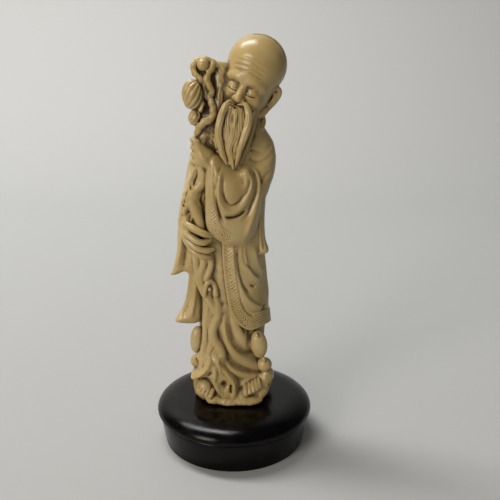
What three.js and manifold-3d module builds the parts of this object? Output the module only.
// An old sage leaning on a gnarled staff, cast in one piece, standing on a turned round stand.
// Millimetres, +Z up. The sage faces -Y, and the origin is the centre of the stand's underside.

import * as THREE from "three";
import { mergeVertices } from "three/addons/utils/BufferGeometryUtils.js";
import Module from "manifold-3d";

const wasm = await Module();
wasm.setup();

// Driving dimensions, in millimetres
const figureHeight = 141;
const standDiameter = 63;
const bandHeight = 12.6;
const bandTaper = 2;
const lipHeight = 1.4;
const lipOverhang = 1;
const shoulderHeight = 5;
const shoulderWidth = 9.5;
const standHeight = bandHeight + lipHeight + shoulderHeight;

// The figure is drawn in hundredths of its height: z runs from 0 at the soles to 100 at the crown,
// x to the viewer's right and y away from the viewer. A knot is [x, y, z, radius].
const unit = figureHeight / 100;

// Solids

// A closed skin: place(around, row) gives each point, with around running from 0 to 1.
// The first and the last row each close to one point.
function skin(columns, rows, place) {
  const geometry = new THREE.SphereGeometry(1, columns, rows);
  const position = geometry.getAttribute("position");
  for (let row = 0; row <= rows; row += 1) {
    for (let column = 0; column <= columns; column += 1) {
      const point = place((column % columns) / columns, row);
      position.setXYZ(row * (columns + 1) + column, point.x, point.y, point.z);
    }
  }
  return geometry;
}

// A closed mesh with shared corners, as a solid that can be joined and cut.
function solid(geometry) {
  const bare = geometry.clone();
  bare.deleteAttribute("normal");
  bare.deleteAttribute("uv");
  const merged = mergeVertices(bare, 1e-3);
  return new wasm.Manifold(
    new wasm.Mesh({
      numProp: 3,
      vertProperties: merged.getAttribute("position").array,
      triVerts: Uint32Array.from(merged.index.array),
    }),
  );
}

// A value read off [key, value, value, ...] stations, on the straight line between neighbours.
function station(rows, key, column) {
  const last = rows.length - 1;
  if (key <= rows[0][0]) return rows[0][column];
  if (key >= rows[last][0]) return rows[last][column];
  const next = rows.findIndex((row) => row[0] > key);
  const share = (key - rows[next - 1][0]) / (rows[next][0] - rows[next - 1][0]);
  return THREE.MathUtils.lerp(rows[next - 1][column], rows[next][column], share);
}

// A tapering strand with round ends, carried along a smooth curve through its knots.
function strand(knots, { sides = 5, rows = knots.length + 2, blunt = 5 } = {}) {
  const curve = new THREE.CatmullRomCurve3(
    knots.map(([x, y, z]) => new THREE.Vector3(x, y, z).multiplyScalar(unit)),
  );
  const frames = curve.computeFrenetFrames(rows);
  const radii = knots.map((knot, index) => [index / (knots.length - 1), knot[3] * unit]);
  return solid(
    skin(sides, rows, (around, row) => {
      const along = row / rows;
      const taper = (1 - Math.abs(2 * along - 1) ** blunt) ** (1 / blunt);
      const radius = station(radii, curve.getUtoTmapping(along), 1) * taper;
      const angle = -2 * Math.PI * around;
      return curve
        .getPointAt(along)
        .addScaledVector(frames.normals[row], radius * Math.cos(angle))
        .addScaledVector(frames.binormals[row], radius * Math.sin(angle));
    }),
  );
}

// An egg with its half sizes, placed by a matrix in hundredths of the figure's height.
function egg(half, matrix, { columns = 12, rows = 8 } = {}) {
  const geometry = new THREE.SphereGeometry(1, columns, rows);
  geometry.rotateX(Math.PI / 2);
  geometry.scale(half[0], half[1], half[2]);
  geometry.applyMatrix4(matrix);
  geometry.scale(unit, unit, unit);
  return solid(geometry);
}

// A place and a turn about x, y and z, in degrees.
function placed([x, y, z], turn = [0, 0, 0], order = "XYZ") {
  const euler = new THREE.Euler(...turn.map(THREE.MathUtils.degToRad), order);
  return new THREE.Matrix4().makeRotationFromEuler(euler).setPosition(x, y, z);
}

// A closed body of rings stacked from its top down. edge(angle, share) gives a point of a ring,
// and axis(share) the middle of the top and the bottom, share running from 0 to 1.
function stack(columns, rings, edge, axis) {
  const rows = rings + 1;
  return solid(
    skin(columns, rows, (around, row) => {
      if (row === 0) return axis(0);
      if (row === rows) return axis(1);
      return edge(360 * around, (row - 1) / (rings - 1));
    }),
  );
}

// A point on a garment's oval: angle 0 is its front, 90 its right side and 180 its back.
function onOval(rows, angle, z, outward = 0) {
  const bearing = THREE.MathUtils.degToRad(angle);
  const width = station(rows, z, 3) + outward;
  const depth = station(rows, z, 4) + outward;
  const x = station(rows, z, 1) + width * Math.sin(bearing);
  const y = station(rows, z, 2) - depth * Math.cos(bearing);
  return new THREE.Vector3(x, y, z).multiplyScalar(unit);
}

// The middle of that oval.
function midOval(rows, z) {
  return new THREE.Vector3(station(rows, z, 1), station(rows, z, 2), z).multiplyScalar(unit);
}

// Knots [angle, z, radius] that lie on a garment's surface, as knots of a strand.
function laidOn(rows, knots, lift = 0.3) {
  return knots.map(([angle, z, radius]) => {
    const point = onOval(rows, angle, z, lift * radius).divideScalar(unit);
    return [point.x, point.y, z, radius];
  });
}

// How near an angle is to a middle one, from 1 there to 0 well away, both in degrees.
function nearness(angle, middle, spread) {
  const away = THREE.MathUtils.euclideanModulo(angle - middle + 180, 360) - 180;
  return Math.exp(-((away / spread) ** 2));
}

// Robe and coat

// Height, centre x, centre y, half width and half depth of the long robe, up to the collar.
const robe = [
  [0, -1.3, 0.6, 11.7, 7.0],
  [4, -1.3, 0.6, 12.1, 7.2],
  [8, -1.0, 0.5, 10.8, 7.0],
  [14, -0.6, 0.4, 9.2, 6.6],
  [24, -0.4, 0.3, 9.2, 6.6],
  [45, -1.4, 0.2, 9.6, 6.4],
  [60, -1.6, 0.2, 10.2, 6.4],
  [68, 0.1, 0.3, 10.8, 6.4],
  [73, 1.1, 0.4, 9.6, 5.9],
  [76, 1.8, 0.4, 7.0, 5.0],
  [79.5, 2.8, 0.3, 3.8, 3.8],
];

// The same for the coat over it, from the hem up to where the sleeves cover it.
const coat = [
  [22, -0.7, 0.4, 11.0, 7.9],
  [26, -0.9, 0.4, 10.9, 7.8],
  [34, -1.2, 0.3, 10.2, 7.3],
  [44, -1.8, 0.2, 9.8, 7.0],
  [56, -1.6, 0.2, 9.4, 6.0],
];
const coatTop = 54;
const coatHem = 22.8;
const coatOpening = { from: -62, to: -6, inward: 1.6 };
const frontTip = { angle: 31, rise: 0.0068 };
const cornerFlare = { angle: -92, spread: 20, reach: 4.4, height: 5 };
const backFold = { count: 5, depth: 0.5 };

// Soft upright folds, full behind and fading out towards the front.
function foldDepth(angle) {
  const bearing = THREE.MathUtils.degToRad(angle);
  return backFold.depth * (0.5 - 0.5 * Math.cos(bearing)) * Math.cos(backFold.count * bearing);
}

function longRobe() {
  const top = robe.at(-1)[0];
  return stack(
    20,
    9,
    (angle, share) => onOval(robe, angle, top * (1 - share), foldDepth(angle)),
    (share) => midOval(robe, top * (1 - share)),
  );
}

// The coat's lower edge: level behind and at the sides, and sweeping up to the opening in front.
function hemHeight(angle) {
  const signed = angle > 180 ? angle - 360 : angle;
  if (signed < coatOpening.from || signed > frontTip.angle) return coatHem;
  return Math.min(coatTop - 4, coatHem + frontTip.rise * (frontTip.angle - signed) ** 2);
}

function coatBody() {
  return stack(
    24,
    4,
    (angle, share) => {
      const z = THREE.MathUtils.lerp(coatTop, hemHeight(angle), share);
      const signed = angle > 180 ? angle - 360 : angle;
      const open = signed > coatOpening.from && signed < coatOpening.to;
      const low = Math.exp(-(z - coatHem) / cornerFlare.height);
      const flare = cornerFlare.reach * low * nearness(angle, cornerFlare.angle, cornerFlare.spread);
      return onOval(coat, angle, z, open ? -coatOpening.inward : foldDepth(angle) + flare);
    },
    (share) => midOval(coat, THREE.MathUtils.lerp(coatTop, coatHem + 1, share)),
  );
}

// Folds of the long robe that sweep from the opening down to the right.
function sweepingFolds() {
  const folds = [
    { from: [-4, 31], to: [62, 15.5], radius: 1.2 },
    { from: [-14, 25], to: [66, 9], radius: 1.3 },
    { from: [-16, 14], to: [62, 5.5], radius: 1.1 },
  ];
  return folds.map(({ from, to, radius }) => {
    const knots = [0, 0.34, 0.68, 1].map((share) => [
      THREE.MathUtils.lerp(from[0], to[0], share ** 1.5),
      THREE.MathUtils.lerp(from[1], to[1], Math.sin((share * Math.PI) / 2)),
      radius,
    ]);
    return strand(laidOn(robe, knots));
  });
}

// The raised border along the coat's front edge and its hem, and the folds beside it.
function panelFolds() {
  const border = strand(
    laidOn(coat, [
      [-6, 46, 0.8],
      [-4, 36, 0.9],
      [2, 29.4, 1.0],
      [15, 25.2, 1.0],
      [32, 23.6, 1.0],
      [62, 23.6, 0.7],
    ]),
  );
  const folds = [0, 1, 2].map((index) => {
    const start = 9 + 14 * index;
    const low = 29.2 + 4.4 * index;
    return strand(
      laidOn(coat, [
        [start, 46, 0.6],
        [start + 4, low + 8, 0.9],
        [start + 18, low + 1.4, 0.95],
        [start + 42 - 4 * index, low, 0.6],
      ]),
    );
  });
  return [border, ...folds];
}

// Sleeves

// The left arm and its hanging sleeve, on the viewer's right.
function leftSleeve() {
  const arm = strand(
    [
      [7.0, 0.3, 74.2, 4.2],
      [6.7, -1.6, 65, 4.5],
      [4.6, -5.0, 60.6, 4.5],
      [-0.5, -7.0, 65.2, 3.3],
      [-5.2, -8.2, 69.9, 2.2],
    ],
    { sides: 8, rows: 8 },
  );
  const drape = egg([7.5, 3.2, 10.0], placed([1.8, -5.9, 57.6], [0, 4, 0]), {
    columns: 12,
    rows: 7,
  });
  return [arm, drape, ...sleeveFolds(), sleeveHem(), sleeveCorner()];
}

// Nested folds that hang from the forearm like a swag, the outer ones longer.
function sleeveFolds() {
  return [0, 1, 2].map((index) => {
    const left = -2.9 + 1.5 * index;
    const right = 8.8 - 1.7 * index;
    const low = 50.6 + 3.7 * index;
    const middle = (left + right) / 2 + 0.4;
    return strand(
      [
        [left - 0.8, -8.2, 68.6 - 0.8 * index, 0.5],
        [left, -8.5, low + 6.5, 0.95],
        [middle, -8.9, low, 1.1],
        [right - 0.8, -7.3, low + 5.5, 1.05],
        [right - 0.6, -5.2, low + 14, 0.6],
      ],
      { rows: 8 },
    );
  });
}

// The broad border of the sleeve's mouth, from the wrist round to the lowest point.
function sleeveHem() {
  return strand(
    [
      [-4.9, -8.0, 69.2, 1.6],
      [-5.3, -7.4, 61, 1.5],
      [-4.7, -7.0, 53.8, 1.6],
      [-1.8, -7.2, 49.2, 1.6],
      [2.2, -7.2, 47.8, 1.4],
      [5.8, -6.3, 49, 1.1],
    ],
    { rows: 9 },
  );
}

// The back of that sleeve, hanging behind the elbow to a corner.
function sleeveCorner() {
  return strand(
    [
      [7.4, 0.4, 61, 2.4],
      [7.4, 0.8, 52, 2.0],
      [7.8, 0.6, 45.6, 2.0],
      [8.4, 0.4, 42.3, 1.6],
    ],
    { blunt: 9 },
  );
}

// The right arm and sleeve, on the viewer's left, ending in a drawn-out corner.
function rightSleeve() {
  const arm = strand(
    [
      [-7.8, -0.6, 70.6, 3.0],
      [-9.6, -1.4, 61.4, 3.0],
      [-10.7, -2.6, 53.2, 3.0],
      [-11.0, -4.4, 48.4, 2.6],
    ],
    { sides: 8 },
  );
  const hanging = [0, 1].map((index) =>
    strand(
      [
        [-11.4 + 0.8 * index, -2.4 + index, 52, 1.8],
        [-12.5 + 1.2 * index, -1.9 + index, 45.2, 1.9],
        [-13.8 + 1.9 * index, -1.4 + index, 40.8, 1.4],
        [-17.0 + 3.2 * index, -1.0 + index, 36.8 + 0.5 * index, 0.7],
      ],
      { blunt: 9 },
    ),
  );
  return [arm, ...hanging];
}

// Hands, feet and ground

// A hand's four fingers side by side: from(index) gives each finger's knots.
function fingers(from) {
  return [0, 1, 2, 3].map((index) => strand(from(index), { rows: 4 }));
}

function upperHand() {
  const palm = egg([2.6, 1.5, 3.3], placed([-7.2, -8.2, 72.1], [0, -18, -20]), {
    columns: 8,
    rows: 6,
  });
  const wrapped = fingers((index) => {
    const z = 75.0 - 1.7 * index;
    return [
      [-7.4, -8.9, z - 0.3, 0.9],
      [-9.8, -8.4, z, 0.95],
      [-10.4, -6.3, z + 0.2, 0.9],
    ];
  });
  return [palm, ...wrapped];
}

function lowerHand() {
  const palm = egg([2.7, 1.7, 3.4], placed([-10.6, -6.6, 47.4], [0, 24, 24]), {
    columns: 8,
    rows: 6,
  });
  const curled = fingers((index) => {
    const z = 49.8 - 2.0 * index;
    return [
      [-10.7 + 0.3 * index, -8.0, z, 0.85],
      [-8.2 + 0.3 * index, -9.1, z - 0.7, 0.85],
      [-5.5 + 0.2 * index, -8.6, z - 1.5, 0.75],
    ];
  });
  const thumb = strand([
    [-10.0, -7.2, 50.8, 0.9],
    [-7.8, -8.4, 51.5, 0.8],
    [-5.8, -8.6, 51.0, 0.65],
  ]);
  return [palm, thumb, ...curled];
}

// A foot with its five toes under the hem, pointing along a bearing from the front in degrees.
function foot([x, y, z], bearing) {
  const matrix = placed([x, y, z], [0, 0, bearing]);
  const instep = egg([2.9, 3.0, 2.3], matrix, { columns: 8, rows: 6 });
  const toes = [-2, -1, 0, 1, 2].map((index) => {
    const spot = (forward, up) =>
      new THREE.Vector3(index * 1.08, -forward, up).applyMatrix4(matrix).toArray();
    const length = 3.0 - 0.16 * index * index;
    return strand([[...spot(1.0, 1.5), 0.66], [...spot(length, 0.1), 0.7]], {
      rows: 3,
      sides: 4,
    });
  });
  return [instep, ...toes];
}

// Rough ground that spreads under the robe.
function ground() {
  const height = 4.2;
  const reach = [
    [0, 11.6, 7.5],
    [0.5, 12.6, 7.9],
    [1, 11.6, 7.0],
  ];
  return stack(
    20,
    3,
    (angle, share) => {
      const bearing = THREE.MathUtils.degToRad(angle);
      const lumps = 1 + 0.045 * Math.sin(5 * bearing + 0.8) + 0.03 * Math.sin(9 * bearing);
      const up = 1 - share;
      return new THREE.Vector3(
        -1.4 + station(reach, up, 1) * lumps * Math.sin(bearing),
        0.5 - station(reach, up, 2) * lumps * Math.cos(bearing),
        height * up,
      ).multiplyScalar(unit);
    },
    (share) => new THREE.Vector3(-1.4, 0.5, height * (1 - share)).multiplyScalar(unit),
  );
}

// Staff

function staff() {
  const shaft = strand(
    [
      [0.3, -6.9, 0.9, 1.4],
      [0.2, -7.0, 5.6, 1.4],
      [-1.9, -6.9, 9.6, 1.5],
      [-3.4, -6.8, 13.8, 1.4],
      [-5.2, -6.8, 20.4, 1.3],
      [-4.0, -7.0, 26.6, 1.3],
      [-5.2, -7.0, 31.2, 1.4],
      [-6.5, -7.0, 35.2, 1.5],
      [-7.8, -7.2, 40.7, 1.8],
      [-8.5, -7.2, 47.7, 1.6],
      [-9.3, -7.2, 56.8, 1.1],
      [-8.8, -7.0, 62.9, 1.1],
      [-8.0, -6.8, 68.1, 1.3],
      [-8.6, -6.6, 74.4, 1.4],
      [-7.8, -6.8, 77.4, 1.3],
      [-5.3, -6.5, 79.2, 1.25],
      [-4.4, -5.8, 82.2, 1.2],
      [-4.9, -4.8, 85.6, 1.2],
      [-5.0, -4.0, 88.6, 1.3],
      [-5.6, -3.6, 91.6, 1.4],
    ],
    { rows: 21 },
  );
  const trunk = strand(
    [
      [-9.6, -4.8, 70.3, 1.6],
      [-10.4, -5.0, 62.1, 2.0],
      [-10.4, -5.2, 54, 2.0],
      [-10.2, -5.4, 48, 1.6],
    ],
  );
  const band = strand(
    [
      [-6.8, -6.4, 32.8, 1.1],
      [-7.1, -6.2, 24.9, 1.7],
      [-7.2, -6.2, 16.1, 1.7],
      [-6.9, -6.2, 8.3, 1.9],
    ],
    { sides: 6 },
  );
  return [shaft, trunk, band, ...roots(), ...crest()];
}

// Roots that spread over the ground, and the strand that crosses the shaft below the hand.
function roots() {
  return [
    [
      [-6.7, -6.4, 12.1, 1.4],
      [-9.3, -6.2, 8.7, 1.1],
      [-11.9, -4.6, 6.6, 0.9],
      [-13.7, -2.2, 5.3, 0.7],
    ],
    [
      [-8.7, -6.6, 8.4, 0.9],
      [-6.3, -7.2, 7.4, 1],
      [-4.8, -7.4, 4.2, 1],
      [-2.6, -7.2, 1.2, 0.9],
    ],
    [
      [-5.0, -6.6, 11.5, 1.1],
      [-3.9, -6.9, 8.2, 1.1],
      [-2.4, -7.0, 5.0, 1],
      [-1.4, -7.0, 1.2, 0.9],
    ],
    [
      [-9.3, -7.2, 42.2, 1.1],
      [-8.4, -7.4, 36.2, 1.2],
      [-6.4, -7.6, 31.2, 0.9],
      [-3.9, -7.6, 27.4, 0.8],
    ],
  ].map((knots) => strand(knots));
}

// The curling head of the staff with its ball, the ribbed fruit that hangs on it, a knot of
// leaves, and the mass behind them that joins them to the shoulder and the head.
function crest() {
  const curls = [
    [
      [-6.2, -4.6, 86.2, 0.8],
      [-7.6, -4.3, 89.6, 0.8],
      [-8.5, -4.0, 92.2, 0.9],
      [-6.9, -3.8, 93.9, 0.95],
      [-4.2, -3.2, 92.2, 0.95],
      [-1.6, -2.4, 91.6, 0.9],
    ],
    [
      [-4.8, -4.2, 92.2, 0.8],
      [-6.1, -4.8, 89.8, 0.85],
      [-5.2, -5.0, 87.4, 0.85],
      [-4.2, -5.0, 84.6, 0.8],
    ],
  ].map((knots) => strand(knots));
  const ball = egg([1.4, 1.4, 1.4], placed([-7.1, -4.8, 92.3]), { columns: 7, rows: 5 });
  const leaf = egg([1.8, 1.9, 2.4], placed([-9.0, -5.0, 79.8], [0, 20, 0]), {
    columns: 7,
    rows: 5,
  });
  const behind = [
    egg([3.3, 1.5, 6.6], placed([-4.6, -2.7, 86.6], [0, 8, 0]), { columns: 7, rows: 5 }),
    egg([4.0, 2.6, 6.0], placed([-5.0, -3.6, 77.4]), { columns: 6, rows: 5 }),
  ];
  return [...curls, ball, leaf, ...behind, ribbedFruit([-9.5, -5.0, 85.7], [2.9, 2.8, 3.7])];
}

// A fruit with slanting ribs.
function ribbedFruit(centre, half) {
  const ribs = { count: 8, depth: 0.08, twist: 50 };
  const rows = 6;
  return solid(
    skin(2 * ribs.count, rows, (around, row) => {
      const polar = (Math.PI * row) / rows;
      const bearing = 2 * Math.PI * around;
      const slant = THREE.MathUtils.degToRad((ribs.twist * row) / rows);
      const swell = 1 + ribs.depth * Math.cos(ribs.count * (bearing + slant));
      return new THREE.Vector3(
        centre[0] + half[0] * swell * Math.sin(polar) * Math.sin(bearing),
        centre[1] - half[1] * swell * Math.sin(polar) * Math.cos(bearing),
        centre[2] + half[2] * Math.cos(polar),
      ).multiplyScalar(unit);
    }),
  );
}

// Smooth fruits that lie against the robe on both sides.
function sideFruits() {
  const round = { columns: 8, rows: 5 };
  return [
    egg([2.3, 2.0, 4.0], placed([7.1, -4.6, 17.4], [0, -6, 0]), round),
    egg([2.0, 1.9, 2.0], placed([8.8, -4.0, 10.8]), round),
    egg([2.0, 2.0, 3.9], placed([-10.2, -2.8, 17.6], [0, 4, 0]), round),
    egg([1.9, 1.9, 2.3], placed([-10.8, -3.4, 11.2]), round),
  ];
}

// Head and beard

// The head's own frame lies between the ears: +Z runs to the crown and -Y to the nose.
const headMatrix = placed([4.7, -0.6, 88.3], [10, 22, -12], "YZX");

// Knots given in the head's own frame, moved to where the head leans.
function onHead(knots) {
  return knots.map(([x, y, z, radius]) => [
    ...new THREE.Vector3(x, y, z).applyMatrix4(headMatrix).toArray(),
    radius,
  ]);
}

function headEgg(half, centre, columns, rows) {
  return egg(half, headMatrix.clone().multiply(placed(centre)), { columns, rows });
}

function head() {
  const skull = headEgg([7.6, 7.7, 7.6], [0, 0.9, 4.5], 16, 10);
  const face = headEgg([5.5, 5.6, 6.6], [0, -1.6, -2.6], 12, 8);
  const nose = strand(
    onHead([
      [0, -6.3, 0.6, 0.6],
      [0, -7.1, -1.6, 0.75],
      [0, -7.9, -3.2, 1.0],
    ]),
  );
  const neck = strand(
    [
      [3.2, 0.6, 74, 4.0],
      [4.6, 0.2, 84, 4.3],
    ],
    { sides: 7 },
  );
  const pairs = [-1, 1].flatMap((side) => [
    headEgg([2.2, 1.7, 2.1], [3.0 * side, -4.9, -3.2], 7, 5),
    headEgg([1.35, 0.8, 0.75], [2.4 * side, -5.8, -0.9], 6, 5),
    headEgg([0.75, 0.8, 0.6], [0.95 * side, -6.9, -3.5], 6, 4),
    strand(
      onHead([
        [0.8 * side, -6.5, 0.4, 0.5],
        [2.7 * side, -5.7, 1.1, 0.65],
        [4.7 * side, -4.1, 0.6, 0.55],
      ]),
    ),
    ...ear(side),
  ]);
  return [skull, face, nose, neck, ...pairs];
}

// A long-lobed ear: a flat bowl and the curled rim behind it.
function ear(side) {
  const bowl = headEgg([1.6, 1.0, 3.6], [6.0 * side, 0.2, -2.6], 6, 5);
  const rim = strand(
    onHead([
      [5.6 * side, -0.2, 0.2, 0.6],
      [7.5 * side, 0.7, 0.6, 0.8],
      [7.4 * side, 0.8, -2.4, 0.9],
      [6.5 * side, 0.2, -4.8, 0.9],
      [5.2 * side, -0.6, -6.6, 0.8],
    ]),
  );
  return [bowl, rim];
}

// Locks of hair that fall from the lip, the chin and the cheeks, and draw together below.
function beard() {
  const lip = [
    [
      ...onHead([[-0.4, -7.3, -4.1, 0.6]]),
      [-1.2, -7.6, 82.6, 0.85],
      [-2.8, -8.0, 78.9, 1.0],
      [-2.9, -8.3, 74.7, 0.9],
      [-1.9, -8.3, 70.2, 0.5],
    ],
    [
      ...onHead([[0.4, -7.3, -4.1, 0.6]]),
      [4.2, -7.6, 81.9, 0.95],
      [4.0, -8.1, 78.2, 1.1],
      [2.2, -8.5, 74.4, 1.0],
      [0.8, -8.6, 69.8, 0.5],
    ],
  ].map((knots) => strand(knots));
  const chin = [-1, 0, 1].map((index) =>
    strand(
      [
        [0.9 + 1.1 * index, -6.4, 81.4, 1.1],
        [0.0 + 1.2 * index, -7.8, 76.4, 1.2],
        [-0.4 + 0.9 * index, -8.3, 72.0, 1.0],
        [0.1 + 0.3 * index, -8.5, 67.6, 0.5],
      ],
    ),
  );
  const cheeks = [
    [
      [6.2, -4.6, 80.6, 0.9],
      [5.5, -6.6, 75.6, 1.0],
      [3.6, -7.3, 71.8, 0.8],
      [2.0, -7.7, 68.6, 0.5],
    ],
    [
      [-3.0, -4.6, 83.2, 1.3],
      [-3.7, -5.8, 77.4, 1.2],
      [-3.5, -6.6, 72.6, 0.8],
      [-2.4, -7.2, 69.2, 0.5],
    ],
  ].map((knots) => strand(knots));
  const bed = egg([4.6, 2.4, 6.4], placed([1.0, -5.4, 75.8]), { columns: 8, rows: 5 });
  return [bed, ...lip, ...chin, ...cheeks];
}

// Figure and stand

// All forms joined into one casting, cut flat below.
function castFigure() {
  const forms = [
    ground(),
    longRobe(),
    coatBody(),
    ...sweepingFolds(),
    ...panelFolds(),
    ...leftSleeve(),
    ...rightSleeve(),
    ...upperHand(),
    ...lowerHand(),
    ...foot([5.2, -4.5, 3.0], 10),
    ...foot([-8.3, -4.3, 2.8], -14),
    ...staff(),
    ...sideFruits(),
    ...head(),
    ...beard(),
  ];
  const below = new THREE.BoxGeometry(figureHeight, figureHeight, figureHeight);
  below.translate(0, 0, -figureHeight / 2);
  const cast = forms.reduce((whole, form) => whole.add(form)).subtract(solid(below));
  const mesh = cast.getMesh();
  return new THREE.BufferGeometry()
    .setAttribute("position", new THREE.BufferAttribute(mesh.vertProperties, mesh.numProp))
    .setIndex(new THREE.BufferAttribute(mesh.triVerts, 1));
}

// A round stand: a band that tapers to its foot, under a broad rounded shoulder with a flat seat.
function turnedStand() {
  const rim = standDiameter / 2;
  const waist = rim - lipOverhang;
  const lipTop = bandHeight + lipHeight;
  const quarter = Math.PI / 2;
  const lip = new THREE.EllipseCurve(waist, lipTop, lipOverhang, lipHeight, -quarter, 0);
  const shoulder = new THREE.EllipseCurve(
    rim - shoulderWidth,
    lipTop,
    shoulderWidth,
    shoulderHeight,
    0,
    quarter,
  );
  const profile = [
    new THREE.Vector2(0, 0),
    new THREE.Vector2(waist - bandTaper, 0),
    ...lip.getPoints(2),
    ...shoulder.getPoints(6).slice(1),
    new THREE.Vector2(0, standHeight),
  ];
  return new THREE.LatheGeometry(profile, 40).rotateX(Math.PI / 2);
}

const resin = new THREE.MeshStandardMaterial({
  color: "#b79d6c",
  roughness: 0.38,
  metalness: 0,
});
const ebonisedWood = new THREE.MeshStandardMaterial({
  color: "#151212",
  roughness: 0.3,
  metalness: 0,
});

const figure = new THREE.Mesh(castFigure(), resin);
figure.name = "figure";
figure.position.z = standHeight;

const stand = new THREE.Mesh(turnedStand(), ebonisedWood);
stand.name = "stand";

const sage = new THREE.Group();
sage.add(stand, figure);

export default sage;
